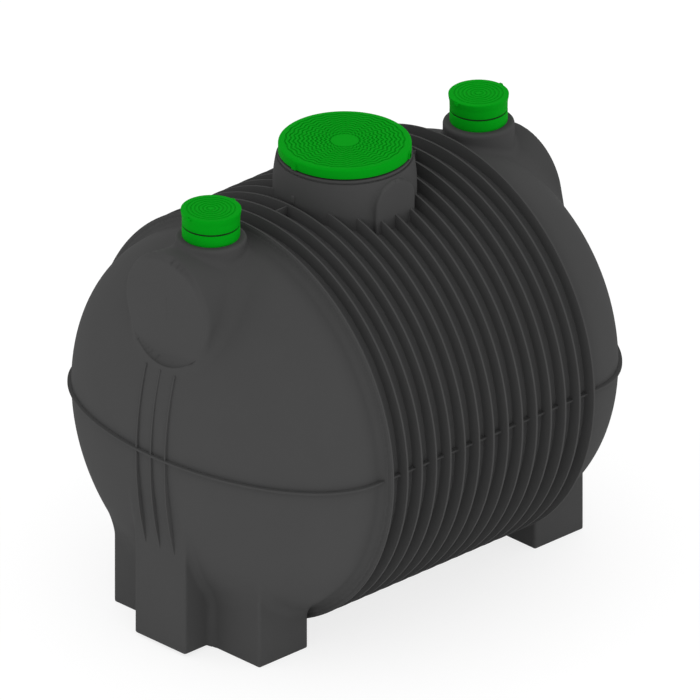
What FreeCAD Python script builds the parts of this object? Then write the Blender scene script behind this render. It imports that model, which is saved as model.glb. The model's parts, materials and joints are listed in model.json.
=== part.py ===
import FreeCAD, Part
import math
import os
from FreeCAD import Vector

# Septic tank for burial: a ribbed barrel between two domed ends, moulded in an
# upper and a lower half that meet at a level seam. Millimetres, +Z up. The
# origin is on the ground under the middle of the tank, X runs along the tank
# from the inlet end to the outlet end, and Y runs across it.

# Shell
barrel_radius = 752.0
wall = 8.0
ground_clearance = 12.0

# Fins round the barrel
fin_count = 15
fin_pitch = 74.2
fin_height = 48.0
fin_thickness = 9.0
shoulder_drop = 8.0
shoulder_land = 2.0

# Domed ends
straight_flange = 8.0
dome_depth = 425.0

# Level seam between the halves
seam_reach = 15.0
seam_thickness = 8.0

# Upright stiffeners on each end
stiffener_thickness = 7.0
stiffener_spacing = 76.0
stiffener_reach = 20.0
stiffener_half_height = 393.0
stiffener_top_height = 345.0
stiffener_drop = 12.0
stiffener_bow = 58.0

# Feet under each end
foot_half_width = 390.0
foot_length = 251.0
foot_corner_radius = 22.0
inlet_foot_setback = 1.0
outlet_foot_setback = 42.0
middle_foot_half_width = 135.0
middle_foot_setback = 42.0
middle_foot_lift = 12.0

# Flat pads for the pipe connections
pad_edge_radius = 22.0
pad_root_offset = 34.0
inlet_pad_radius = 222.0
inlet_pad_drop = 6.0
inlet_pad_fall = 40.0
inlet_pad_setback = 68.0
outlet_pad_radius = 236.0
outlet_pad_drop = 84.0
outlet_pad_fall = 20.0
outlet_pad_setback = 91.0

# Access openings over the ends
access_offset = 126.0
collar_radius = 134.0
collar_rise = 54.0
collar_edge_radius = 18.0
riser_radius = 108.0
riser_wall = 7.0
riser_height = 46.0
riser_socket_depth = 50.0
cap_rim_radius = 113.5
cap_rim_height = 14.0
cap_skirt_height = 48.0
cap_wall = 6.0
cap_seal_height = 4.0
cap_seal_recess = 3.0
grip_length = 7.0
grip_width = 16.0

# Manhole in the middle of the barrel
neck_radius = 269.0
neck_draw_in = 15.0
neck_height = 163.0
neck_curve_height = 127.0
neck_wall = 10.0
neck_pad_half_width = 93.0
neck_pad_stand_off = 6.0
neck_pad_straight_height = 36.0
gasket_thickness = 6.0
gasket_inset = 2.0
gasket_width = 14.0
lid_inset = 5.0
lid_height = 40.0
lid_plate = 12.0
lid_skirt = 9.0
lock_width = 20.0
lock_height = 22.0
lock_depth = 4.0
lock_slot_width = 10.0
lock_slot_height = 12.0

# Strip of the crown that is a segment of its own, with the manhole in it
crown_half_width = 190.0

# Small web across a groove on the crown
crown_web_thickness = 7.0
crown_web_bay = 5

# Places that follow from the sizes above
fin_radius = barrel_radius + fin_height
axis_height = fin_radius + ground_clearance
outer_fin = fin_pitch * (fin_count - 1) / 2
outer_fin_face = outer_fin + fin_thickness / 2
shoulder_radius = fin_height - shoulder_drop
barrel_end = outer_fin_face + shoulder_radius + shoulder_land
dome_start = barrel_end + straight_flange
dome_tip = dome_start + dome_depth
crown = axis_height + barrel_radius
access_x = barrel_end + access_offset
collar_top = crown + collar_rise
socket_floor = collar_top - riser_socket_depth
riser_top = collar_top + riser_height
cap_base = riser_top + cap_seal_height
cap_top = cap_base + cap_skirt_height + cap_rim_height
neck_top = crown + neck_height
neck_top_radius = neck_radius - neck_draw_in
lid_radius = neck_top_radius - lid_inset
gasket_top = neck_top + gasket_thickness
lid_top = gasket_top + lid_height

axis_point = Vector(0, 0, axis_height)
bore_overlap = 1.0


def block(x_low, x_high, y_low, y_high, z_low, z_high):
    corner = Vector(x_low, y_low, z_low)
    return Part.makeBox(x_high - x_low, y_high - y_low, z_high - z_low, corner)


def upright_cylinder(radius, x, z_low, z_high):
    return Part.makeCylinder(radius, z_high - z_low, Vector(x, 0, z_low))


def lengthwise_cylinder(radius, x_low, x_high, z):
    return Part.makeCylinder(radius, x_high - x_low, Vector(x_low, 0, z), Vector(1, 0, 0))


def polygon_edges(points):
    return [Part.makeLine(start, end) for start, end in zip(points, points[1:])]


def half_turn(face, upper):
    """Turn a section, drawn in the seam plane on the +Y side, through half a circle."""
    direction = Vector(1, 0, 0) if upper else Vector(-1, 0, 0)
    return face.revolve(axis_point, direction, 180)


def seam_point(x, radius):
    return Vector(x, radius, axis_height)


def arc_through(start, middle, end):
    return Part.Arc(start, middle, end).toShape()


def to_inlet_end(shape):
    """The inlet end lies at -X, as the mirror of the way the ends are drawn."""
    return shape.mirror(Vector(0, 0, 0), Vector(1, 0, 0))


# Barrel

def shoulder_arc(side):
    """Hollow curve that runs from the outermost fin down to the barrel's skin."""
    centre_x = outer_fin_face + shoulder_radius
    centre_y = barrel_radius + shoulder_radius
    slant = shoulder_radius * math.sqrt(0.5)
    start = seam_point(side * outer_fin_face, centre_y)
    middle = seam_point(side * (centre_x - slant), centre_y - slant)
    end = seam_point(side * centre_x, barrel_radius)
    return arc_through(start, middle, end)


def fin_centres():
    return [fin_pitch * index - outer_fin for index in range(fin_count)]


def barrel_section():
    """Section of the barrel wall with its row of fins and the two end shoulders."""
    shoulder_top = barrel_radius + shoulder_radius
    outline = [seam_point(-outer_fin_face, shoulder_top)]
    for centre in fin_centres():
        left = centre - fin_thickness / 2
        right = centre + fin_thickness / 2
        if centre > -outer_fin:
            outline.append(seam_point(left, barrel_radius))
        outline.append(seam_point(left, fin_radius))
        outline.append(seam_point(right, fin_radius))
        if centre < outer_fin:
            outline.append(seam_point(right, barrel_radius))
    outline.append(seam_point(outer_fin_face, shoulder_top))
    shoulder_foot = outer_fin_face + shoulder_radius
    bore = [
        seam_point(shoulder_foot, barrel_radius),
        seam_point(barrel_end, barrel_radius),
        seam_point(barrel_end, barrel_radius - wall),
        seam_point(-barrel_end, barrel_radius - wall),
        seam_point(-barrel_end, barrel_radius),
        seam_point(-shoulder_foot, barrel_radius),
    ]
    edges = polygon_edges(outline)
    edges.append(shoulder_arc(1))
    edges.extend(polygon_edges(bore))
    edges.append(shoulder_arc(-1))
    return Part.Face(Part.Wire(edges))


def seam_webs(upper):
    """Short webs that bridge each groove at the seam, on both sides of the barrel."""
    z_low = axis_height if upper else axis_height - seam_thickness / 2
    webs = []
    for centre in fin_centres()[:-1]:
        for side in (-1, 1):
            edge_a = side * (barrel_radius - wall / 2)
            edge_b = side * (barrel_radius + seam_reach)
            webs.append(block(
                centre, centre + fin_pitch,
                min(edge_a, edge_b), max(edge_a, edge_b),
                z_low, z_low + seam_thickness / 2))
    return webs


def barrel_half(upper):
    return half_turn(barrel_section(), upper).fuse(seam_webs(upper)).removeSplitter()


def segment(half, x_low, x_high, y_low, y_high):
    """One stretch of a half of the barrel, cut out of it lengthwise by upright planes."""
    return half.common(block(x_low, x_high, y_low, y_high, 0, axis_height * 2))


# Domed ends

def dome_section(inset):
    """Section of a domed end: a short straight stretch and a quarter ellipse."""
    radius = barrel_radius - inset
    depth = dome_depth - inset
    centre = seam_point(dome_start, 0)
    top = seam_point(dome_start, radius)
    tip = seam_point(dome_start + depth, 0)
    curve = Part.ArcOfEllipse(Part.Ellipse(top, tip, centre), 0, math.pi / 2).toShape()
    edges = polygon_edges([tip, seam_point(barrel_end, 0), seam_point(barrel_end, radius), top])
    edges.append(curve)
    return Part.Face(Part.Wire(edges))


def dome_half(inset, upper):
    return half_turn(dome_section(inset), upper)


def seam_flange(upper):
    """Flat lip that runs round the dome at the seam, from the first fin back to it."""
    reach = barrel_radius + seam_reach
    start = outer_fin_face
    centre = seam_point(dome_start, 0)
    right = seam_point(dome_start, reach)
    tip = seam_point(dome_tip + seam_reach, 0)
    ellipse = Part.Ellipse(right, tip, centre)
    curve = Part.ArcOfEllipse(ellipse, 0, math.pi).toShape()
    edges = polygon_edges([
        seam_point(dome_start, -reach),
        seam_point(start, -reach),
        seam_point(start, reach),
        seam_point(dome_start, reach),
    ])
    face = Part.Face(Part.Wire([curve] + edges))
    rise = seam_thickness / 2 if upper else -seam_thickness / 2
    lip = face.extrude(Vector(0, 0, rise))
    opening = block(0, dome_start, -barrel_radius + wall, barrel_radius - wall,
                    axis_height - seam_thickness, axis_height + seam_thickness)
    return lip.cut(opening)


def end_shell(upper):
    """One half of a domed end, with its half of the seam lip."""
    outside = dome_half(0, upper)
    shell = outside.fuse(seam_flange(upper).cut(barrel_space(upper)))
    return shell.cut(dome_half(wall, upper)).removeSplitter()


def barrel_space(upper):
    """The room that the barrel and its shoulder take up, for cutting the lip to them."""
    z_low = axis_height if upper else axis_height - seam_thickness
    reach = barrel_radius + seam_reach + bore_overlap
    return block(0, barrel_end, -reach, reach, z_low, z_low + seam_thickness)


def dome_outside():
    return dome_half(0, True).fuse(dome_half(0, False)).removeSplitter()


# Feet

def side_foot(setback, side, dome):
    """Upright block beside the middle foot, cut to the underside of the dome."""
    x_low = barrel_end + setback
    y_a = side * middle_foot_half_width
    y_b = side * foot_half_width
    foot = block(x_low, x_low + foot_length, min(y_a, y_b), max(y_a, y_b), 0, axis_height)
    outer = [edge for edge in foot.Edges if is_upright_at(edge, y_b)]
    return foot.makeFillet(foot_corner_radius, outer).cut(dome)


def is_upright_at(edge, y):
    box = edge.BoundBox
    upright = box.ZLength > foot_corner_radius * 2
    return upright and abs(box.YMin - y) < 0.01 and abs(box.YMax - y) < 0.01


def middle_foot(setback, dome):
    """The longest foot, which stands out past the other two under the stiffeners."""
    x_low = barrel_end + setback
    x_face = x_low + foot_length
    x_high = dome_tip - middle_foot_setback
    half = middle_foot_half_width
    flare = half + foot_corner_radius
    neck_x = x_face + foot_corner_radius
    slant = foot_corner_radius * (1 - math.sqrt(0.5))
    edges = polygon_edges([
        Vector(x_face, flare, 0), Vector(x_face, half, 0), Vector(x_low, half, 0),
        Vector(x_low, -half, 0), Vector(x_face, -half, 0), Vector(x_face, -flare, 0)])
    edges.append(arc_through(
        Vector(x_face, -flare, 0), Vector(x_face + slant, -half - slant, 0), Vector(neck_x, -half, 0)))
    edges.append(Part.makeLine(Vector(neck_x, -half, 0), Vector(x_high, -half, 0)))
    edges.append(Part.makeLine(Vector(x_high, -half, 0), Vector(x_high, half, 0)))
    edges.append(Part.makeLine(Vector(x_high, half, 0), Vector(neck_x, half, 0)))
    edges.append(arc_through(
        Vector(neck_x, half, 0), Vector(x_face + slant, half + slant, 0), Vector(x_face, flare, 0)))
    plan = Part.Face(Part.Wire(edges))
    foot = plan.extrude(Vector(0, 0, axis_height - middle_foot_lift))
    outer = [edge for edge in foot.Edges
             if edge.BoundBox.ZLength > foot_corner_radius * 2 and edge.BoundBox.XMin > x_high - 0.01]
    foot = foot.makeFillet(foot_corner_radius, outer)
    foot.translate(Vector(0, 0, middle_foot_lift))
    return foot.cut(dome)


# Upright stiffeners

def stiffeners(dome, foot):
    """Three thin upright plates with a bowed outer edge, over the middle foot."""
    lips = [seam_flange(True), seam_flange(False)]
    x_out = dome_tip + stiffener_reach
    x_end = x_out - stiffener_bow
    z_middle = axis_height - stiffener_drop
    low = Vector(x_end, 0, z_middle - stiffener_half_height)
    high = Vector(x_end, 0, z_middle + stiffener_half_height)
    root_x = dome_start
    edges = [arc_through(low, Vector(x_out, 0, z_middle), high)]
    edges += polygon_edges([high, Vector(root_x, 0, high.z), Vector(root_x, 0, low.z), low])
    plate = Part.Face(Part.Wire(edges))
    top = z_middle + stiffener_top_height
    above = block(root_x, x_out, -stiffener_spacing * 2, stiffener_spacing * 2, top, high.z)
    solids = []
    for index in (-1, 0, 1):
        solid = plate.extrude(Vector(0, stiffener_thickness, 0))
        solid.translate(Vector(0, index * stiffener_spacing - stiffener_thickness / 2, 0))
        solids.append(solid.cut([dome, foot, above] + lips))
    pieces = [piece for solid in solids for piece in solid.Solids]
    return Part.makeCompound(pieces)


# Pipe pads

def pipe_pad(radius, drop, fall, setback, dome, collar_room):
    """Round flat-faced boss for a pipe, whose back falls away into the dome."""
    x_face = dome_tip - setback
    x_root = barrel_end + pad_root_offset
    z_face = collar_top - drop - radius
    face_centre = Vector(x_face, 0, z_face)
    root_centre = Vector(x_root, 0, z_face - fall)
    along = Vector(1, 0, 0)
    front = Part.Wire(Part.makeCircle(radius, face_centre, along))
    back = Part.Wire(Part.makeCircle(radius, root_centre, along))
    boss = Part.makeLoft([back, front], True, True)
    rim = [edge for edge in boss.Edges if edge.BoundBox.XMin > x_face - 0.01]
    boss = boss.makeFillet(pad_edge_radius, rim)
    return boss.cut([dome, collar_room])


def pad_parts(pad):
    """The pad in front of the collar, and its two shoulders beside the collar."""
    split = access_x + collar_radius * math.sqrt(0.5)
    side = barrel_radius
    top = fin_radius + axis_height
    return {
        "pipe_pad": pad.common(block(split, dome_tip, -side, side, 0, top)),
        "pad_shoulder_left": pad.common(block(barrel_end, split, 0, side, 0, top)),
        "pad_shoulder_right": pad.common(block(barrel_end, split, -side, 0, 0, top)),
    }


# Access openings

def collar(dome, barrel):
    """Round neck on the dome, with a socket that takes the riser pipe."""
    body = upright_cylinder(collar_radius, access_x, axis_height, collar_top)
    rim = [edge for edge in body.Edges if edge.BoundBox.ZMin > collar_top - 0.01]
    body = body.makeFillet(collar_edge_radius, rim)
    socket = upright_cylinder(riser_radius, access_x, socket_floor, collar_top + bore_overlap)
    bore = upright_cylinder(riser_radius - riser_wall, access_x, axis_height, collar_top)
    return body.cut([dome, barrel, tank_interior(), socket, bore])


def access_bore():
    return upright_cylinder(riser_radius - riser_wall, access_x, axis_height, collar_top)


def riser():
    outside = upright_cylinder(riser_radius, access_x, socket_floor, riser_top)
    inside = upright_cylinder(riser_radius - riser_wall, access_x, socket_floor, riser_top)
    return outside.cut(inside)


def cap_seal():
    outside = upright_cylinder(riser_radius - cap_seal_recess, access_x, riser_top, cap_base)
    inside = upright_cylinder(riser_radius - riser_wall, access_x, riser_top, cap_base)
    return outside.cut(inside)


def cap():
    """Screw cap: a skirt as wide as the riser, a wider rim and two grip lugs."""
    rim_base = cap_base + cap_skirt_height
    skirt = upright_cylinder(riser_radius, access_x, cap_base, rim_base)
    rim = upright_cylinder(cap_rim_radius, access_x, rim_base, cap_top)
    half_grip = cap_rim_radius + grip_length
    grips = block(access_x - half_grip, access_x + half_grip,
                  -grip_width / 2, grip_width / 2, rim_base, cap_top)
    hollow = upright_cylinder(riser_radius - cap_wall, access_x, cap_base, cap_top - cap_wall)
    return skirt.fuse([rim, grips]).cut(hollow).removeSplitter()


# Manhole

def neck_section(inset):
    """Section of the manhole neck: straight below, drawn in by one arc towards the top."""
    radius = neck_radius - inset
    z_curve = neck_top - neck_curve_height
    arc_radius = (neck_curve_height ** 2 + neck_draw_in ** 2) / (2 * neck_draw_in)
    z_middle = z_curve + neck_curve_height / 2
    x_middle = radius - arc_radius + math.sqrt(arc_radius ** 2 - (neck_curve_height / 2) ** 2)
    start = Vector(radius, 0, z_curve)
    end = Vector(radius - neck_draw_in, 0, neck_top)
    edges = [arc_through(start, Vector(x_middle, 0, z_middle), end)]
    edges += polygon_edges([
        end, Vector(0, 0, neck_top), Vector(0, 0, axis_height), Vector(radius, 0, axis_height), start])
    return Part.Face(Part.Wire(edges))


def neck_solid(inset):
    return neck_section(inset).revolve(Vector(0, 0, 0), Vector(0, 0, 1), 360)


def tank_interior():
    return lengthwise_cylinder(barrel_radius - wall, -barrel_end, barrel_end, axis_height)


def manhole_neck():
    return neck_solid(0).cut([neck_solid(neck_wall), tank_interior()])


def neck_pad(side):
    """Flat pad with an arched top on the side of the neck, down to the tips of the fins."""
    z_straight = crown + neck_pad_straight_height
    half = neck_pad_half_width
    y_face = side * (neck_radius + neck_pad_stand_off)
    edges = polygon_edges([
        Vector(-half, y_face, z_straight), Vector(-half, y_face, axis_height),
        Vector(half, y_face, axis_height), Vector(half, y_face, z_straight)])
    edges.append(arc_through(Vector(half, y_face, z_straight), Vector(0, y_face, z_straight + half),
                             Vector(-half, y_face, z_straight)))
    prism = Part.Face(Part.Wire(edges)).extrude(Vector(0, -y_face, 0))
    fins = lengthwise_cylinder(fin_radius, -barrel_end, barrel_end, axis_height)
    return prism.cut([neck_solid(0), fins])


def manhole_gasket():
    radius = neck_top_radius - gasket_inset
    outside = upright_cylinder(radius, 0, neck_top, gasket_top)
    inside = upright_cylinder(radius - gasket_width, 0, neck_top, gasket_top)
    return outside.cut(inside)


def manhole_lid():
    """Round lid: a plate with a skirt that stands on the gasket."""
    body = upright_cylinder(lid_radius, 0, gasket_top, lid_top)
    hollow = upright_cylinder(lid_radius - lid_skirt, 0, gasket_top, lid_top - lid_plate)
    return body.cut(hollow)


def lid_lock(angle):
    """Small arched catch on the side of the lid, with a slot for a key."""
    half = lock_width / 2
    straight = lock_height - half
    slot_half = lock_slot_width / 2
    slot_straight = lock_slot_height - slot_half
    outline = arch_face(half, straight).cut(arch_face(slot_half, slot_straight))
    catch = outline.extrude(Vector(lock_depth + half, 0, 0))
    catch.translate(Vector(lid_radius - half, 0, gasket_top))
    catch = catch.cut(upright_cylinder(lid_radius, 0, gasket_top, lid_top))
    catch.rotate(Vector(0, 0, 0), Vector(0, 0, 1), angle)
    return catch


def arch_face(half, straight):
    edges = polygon_edges([
        Vector(0, -half, straight), Vector(0, -half, 0), Vector(0, half, 0), Vector(0, half, straight)])
    edges.append(arc_through(Vector(0, half, straight), Vector(0, 0, straight + half),
                             Vector(0, -half, straight)))
    return Part.Face(Part.Wire(edges))


# Crown webs

def crown_web():
    """Thin web across one groove on the crown, between two fins beside the manhole."""
    x_low = fin_pitch * (crown_web_bay - 1) + fin_thickness / 2
    x_high = x_low + fin_pitch - fin_thickness
    half = crown_web_thickness / 2
    web = block(x_low, x_high, -half, half, axis_height, axis_height + fin_radius)
    return web.cut(lengthwise_cylinder(barrel_radius, x_low, x_high, axis_height))


# Assembly

def write(name, shape):
    shape.exportStep("parts/" + name + ".step")
    print(name, "solids", len(shape.Solids), "valid", shape.isValid(), "litres", round(shape.Volume / 1e6, 2))


def build_end(name, place, foot_setback, pad_sizes):
    """Write every piece of one end; place moves a piece drawn at +X to its own end."""
    dome = dome_outside()
    collar_room = upright_cylinder(collar_radius, access_x, axis_height, collar_top + bore_overlap)
    write(name + "_end_upper", place(end_shell(True).cut(access_bore())))
    write(name + "_end_lower", place(end_shell(False)))
    middle = middle_foot(foot_setback, dome)
    sides = {"left": 1, "right": -1}
    for word, side in sides.items():
        write(name + "_foot_" + word, place(side_foot(foot_setback, side, dome)))
    write(name + "_foot_middle", place(middle))
    write(name + "_end_stiffeners", place(stiffeners(dome, middle)))
    for word, shape in pad_parts(pipe_pad(*pad_sizes, dome, collar_room)).items():
        write(name + "_" + word, place(shape))
    write(name + "_access_collar", place(collar(dome, barrel_half(True))))
    write(name + "_access_riser", place(riser()))
    write(name + "_cap_seal", place(cap_seal()))
    write(name + "_access_cap", place(cap()))
    write(name + "_crown_web", place(crown_web()))


def build_barrel():
    upper = barrel_half(True).cut(neck_solid(0))
    lower = barrel_half(False)
    end = barrel_end
    outside = axis_height
    edge = crown_half_width
    write("barrel_upper_left", segment(upper, -end, end, edge, outside))
    write("barrel_upper_right", segment(upper, -end, end, -outside, -edge))
    write("barrel_crown_inlet", segment(upper, -end, 0, -edge, edge))
    write("barrel_crown_outlet", segment(upper, 0, end, -edge, edge))
    write("barrel_lower_left", segment(lower, -end, end, edge, outside))
    write("barrel_lower_right", segment(lower, -end, end, -outside, -edge))
    write("barrel_base", segment(lower, -end, end, -edge, edge))


def build_manhole():
    write("manhole_neck", manhole_neck())
    write("neck_pad_left", neck_pad(1))
    write("neck_pad_right", neck_pad(-1))
    write("manhole_gasket", manhole_gasket())
    write("manhole_lid", manhole_lid())
    for word, angle in {"inlet": 180, "left": 60, "right": -60}.items():
        write("lid_lock_" + word, lid_lock(angle))


def stay(shape):
    return shape


os.makedirs("parts", exist_ok=True)
inlet_pad = (inlet_pad_radius, inlet_pad_drop, inlet_pad_fall, inlet_pad_setback)
outlet_pad = (outlet_pad_radius, outlet_pad_drop, outlet_pad_fall, outlet_pad_setback)
build_barrel()
build_manhole()
build_end("inlet", to_inlet_end, inlet_foot_setback, inlet_pad)
build_end("outlet", stay, outlet_foot_setback, outlet_pad)
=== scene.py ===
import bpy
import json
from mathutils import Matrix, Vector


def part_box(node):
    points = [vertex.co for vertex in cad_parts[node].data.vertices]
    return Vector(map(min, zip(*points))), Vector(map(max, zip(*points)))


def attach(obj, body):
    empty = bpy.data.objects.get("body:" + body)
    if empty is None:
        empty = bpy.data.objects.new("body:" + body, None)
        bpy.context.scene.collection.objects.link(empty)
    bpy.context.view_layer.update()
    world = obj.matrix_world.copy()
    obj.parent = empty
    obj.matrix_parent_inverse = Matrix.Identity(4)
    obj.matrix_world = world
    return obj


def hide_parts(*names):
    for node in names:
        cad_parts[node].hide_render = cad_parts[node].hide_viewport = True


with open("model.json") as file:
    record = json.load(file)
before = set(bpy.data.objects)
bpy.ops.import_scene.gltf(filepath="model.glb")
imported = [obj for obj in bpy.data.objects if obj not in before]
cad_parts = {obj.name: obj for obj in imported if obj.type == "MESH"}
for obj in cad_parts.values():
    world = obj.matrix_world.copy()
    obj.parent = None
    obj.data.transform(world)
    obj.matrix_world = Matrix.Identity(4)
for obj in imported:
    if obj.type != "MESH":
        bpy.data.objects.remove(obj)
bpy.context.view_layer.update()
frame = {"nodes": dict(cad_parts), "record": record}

# %% [markdown]
# This lesson dresses a moulded plastic septic tank. The real one is made of two black polyethylene
# halves, joined at a level seam, with a bolted green manhole lid and a green screw cap over each end. The
# construction comes in as fixed solids, in metres, with +Z up and X along the tank, and every piece made
# here takes its place from them.

# %% Modules and a first look at the solids
import functools
import json
import math

import bmesh
import bpy
import numpy as np
from mathutils import Matrix, Vector

MM = 0.001

# %% [markdown]
# The tank's main lines are read from the solids, so the pieces follow the construction: the level seam is
# the top of a lower end, the skin's radius is the height of an upper end above it, and so on. Only sizes
# that a solid's box can't give are written as numbers.

# %% The tank's main lines
end_low, end_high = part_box("outlet_end_upper")
SEAM_Z = end_low.z
SKIN_R = end_high.z - SEAM_Z
BARREL_END = end_low.x
SEAM_REACH = 15 * MM
FLANGE = 8 * MM
DOME_START = BARREL_END + FLANGE
DOME_DEPTH = end_high.x - SEAM_REACH - DOME_START
DOME_TIP = DOME_START + DOME_DEPTH
FIN_COUNT = 15
FIN_PITCH = 74.2 * MM
FIN_TIP = 8 * MM
FIN_ROOT = 10 * MM
FIN_HEIGHT = 48 * MM
FIN_R = SKIN_R + FIN_HEIGHT
OUTER_FIN = FIN_PITCH * (FIN_COUNT - 1) / 2
OUTER_FIN_FACE = OUTER_FIN + FIN_TIP / 2
print("seam", round(SEAM_Z, 4), "skin radius", round(SKIN_R, 4))
print("dome from", round(DOME_START, 4), "to", round(DOME_TIP, 4))

# %% [markdown]
# Three finishes cover the tank: matt black moulded plastic, matt green moulded plastic and black rubber.
# All moulded plastic shares the same fine grain, so the grain is a node group of its own. It mixes a
# coarse orange peel, left by the slow cooling of the wall, with the sand-blasted texture of the mould.

# %% A node group for the moulded grain
def new_group(name, inputs, outputs):
    group = bpy.data.node_groups.new(name, "ShaderNodeTree")
    for title, kind, value in inputs:
        socket = group.interface.new_socket(name=title, in_out="INPUT", socket_type=kind)
        socket.default_value = value
    for title, kind in outputs:
        group.interface.new_socket(name=title, in_out="OUTPUT", socket_type=kind)
    entry = group.nodes.new("NodeGroupInput")
    result = group.nodes.new("NodeGroupOutput")
    return group, entry.outputs, result.inputs


def add(tree, kind, settings=None, **inputs):
    """Add a node; each named input is set to a value or linked to a socket."""
    node = tree.nodes.new(kind)
    for key, value in (settings or {}).items():
        setattr(node, key, value)
    for key, value in inputs.items():
        socket = node.inputs[int(key[1:])] if key[0] == "i" and key[1:].isdigit() else node.inputs[key]
        if isinstance(value, bpy.types.NodeSocket):
            tree.links.new(value, socket)
        else:
            socket.default_value = value
    return node


def math_node(tree, operation, a, b=0.0, clamp=False):
    node = add(tree, "ShaderNodeMath", {"operation": operation, "use_clamp": clamp}, i0=a, i1=b)
    return node.outputs[0]


def noise(tree, where, scale, detail, roughness=0.5):
    node = add(tree, "ShaderNodeTexNoise", Vector=where, Scale=scale, Detail=detail, Roughness=roughness)
    return node.outputs["Factor"] if "Factor" in node.outputs else node.outputs["Fac"]


def grain_group():
    group, given, result = new_group(
        "moulded_grain",
        [("Where", "NodeSocketVector", (0, 0, 0)), ("Peel Scale", "NodeSocketFloat", 60.0),
         ("Grain Scale", "NodeSocketFloat", 420.0), ("Grain Share", "NodeSocketFloat", 0.4)],
        [("Height", "NodeSocketFloat")])
    peel = noise(group, given["Where"], given["Peel Scale"], 2.0)
    grain = noise(group, given["Where"], given["Grain Scale"], 3.0, 0.6)
    shared = math_node(group, "MULTIPLY", grain, given["Grain Share"])
    group.links.new(math_node(group, "ADD", peel, shared), result["Height"])
    return group


GRAIN = grain_group()
print("group", GRAIN.name, "sockets", [item.name for item in GRAIN.interface.items_tree])

# %% [markdown]
# Moulded plastic is never one even colour. Broad clouds come from the powder melting unevenly, and a thin
# film of dust lies on what faces up. Ridges are painted lighter: this is partly rubbed wear from handling
# the tank and partly a painted highlight where they catch the light. One group turns these into a colour and
# a roughness, so the black and the green share the way they age.

# %% A node group for clouds, dust, and ridges lightened by wear and a painted highlight
def ageing_and_highlight_group():
    group, given, result = new_group(
        "plastic_ageing_and_highlight",
        [("Where", "NodeSocketVector", (0, 0, 0)), ("Color", "NodeSocketColor", (0.1, 0.1, 0.1, 1)),
         ("Dust Color", "NodeSocketColor", (0.3, 0.3, 0.28, 1)), ("Cloud Scale", "NodeSocketFloat", 3.0),
         ("Cloud Depth", "NodeSocketFloat", 0.1), ("Dust", "NodeSocketFloat", 0.1),
         ("Rub And Highlight", "NodeSocketFloat", 0.3), ("Roughness", "NodeSocketFloat", 0.6)],
        [("Color", "NodeSocketColor"), ("Roughness", "NodeSocketFloat")])
    cloud = noise(group, given["Where"], given["Cloud Scale"], 4.0, 0.55)
    centred = math_node(group, "SUBTRACT", cloud, 0.5)
    swing = math_node(group, "MULTIPLY", centred, given["Cloud Depth"])
    shade = math_node(group, "MULTIPLY_ADD", swing, 2.0)
    shade.node.inputs[2].default_value = 1.0
    clouded = add(group, "ShaderNodeVectorMath", {"operation": "SCALE"}, i0=given["Color"], Scale=shade)
    geometry = group.nodes.new("ShaderNodeNewGeometry")
    up = add(group, "ShaderNodeSeparateXYZ", Vector=geometry.outputs["Normal"]).outputs["Z"]
    facing = add(group, "ShaderNodeMapRange", {"interpolation_type": "SMOOTHSTEP"}, Value=up)
    facing.inputs["From Min"].default_value = 0.35
    facing.inputs["From Max"].default_value = 1.0
    speck = noise(group, given["Where"], 38.0, 5.0, 0.65)
    settled = math_node(group, "MULTIPLY", facing.outputs["Result"], speck)
    film = math_node(group, "MULTIPLY", settled, given["Dust"], clamp=True)
    dusty = add(group, "ShaderNodeMix", {"data_type": "RGBA"}, i0=film, i6=clouded.outputs[0],
                i7=given["Dust Color"])
    # Ridges found by pointiness are painted lighter: partly rubbed wear, partly a painted highlight where
    # they catch the light.
    ridge = add(group, "ShaderNodeMapRange", Value=geometry.outputs["Pointiness"])
    ridge.inputs["From Min"].default_value = 0.52
    ridge.inputs["From Max"].default_value = 0.62
    ridge_rub_and_highlight = math_node(group, "MULTIPLY", ridge.outputs["Result"], given["Rub And Highlight"], clamp=True)
    lighter = add(group, "ShaderNodeVectorMath", {"operation": "SCALE"}, i0=dusty.outputs[2], Scale=1.6)
    final = add(group, "ShaderNodeMix", {"data_type": "RGBA"}, i0=ridge_rub_and_highlight, i6=dusty.outputs[2],
                i7=lighter.outputs[0])
    group.links.new(final.outputs[2], result["Color"])
    patchy = math_node(group, "MULTIPLY_ADD", swing, 0.8)
    group.links.new(given["Roughness"], patchy.node.inputs[2])
    matt = math_node(group, "MULTIPLY_ADD", film, 0.5)
    group.links.new(patchy, matt.node.inputs[2])
    group.links.new(matt, result["Roughness"])
    return group


AGEING_AND_HIGHLIGHT = ageing_and_highlight_group()

# %% [markdown]
# Each material holds its own Principled shader and places the two groups with its own numbers. The bump
# is small, because the real wall is smooth to the hand: the grain only breaks up the sheen.

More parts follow.
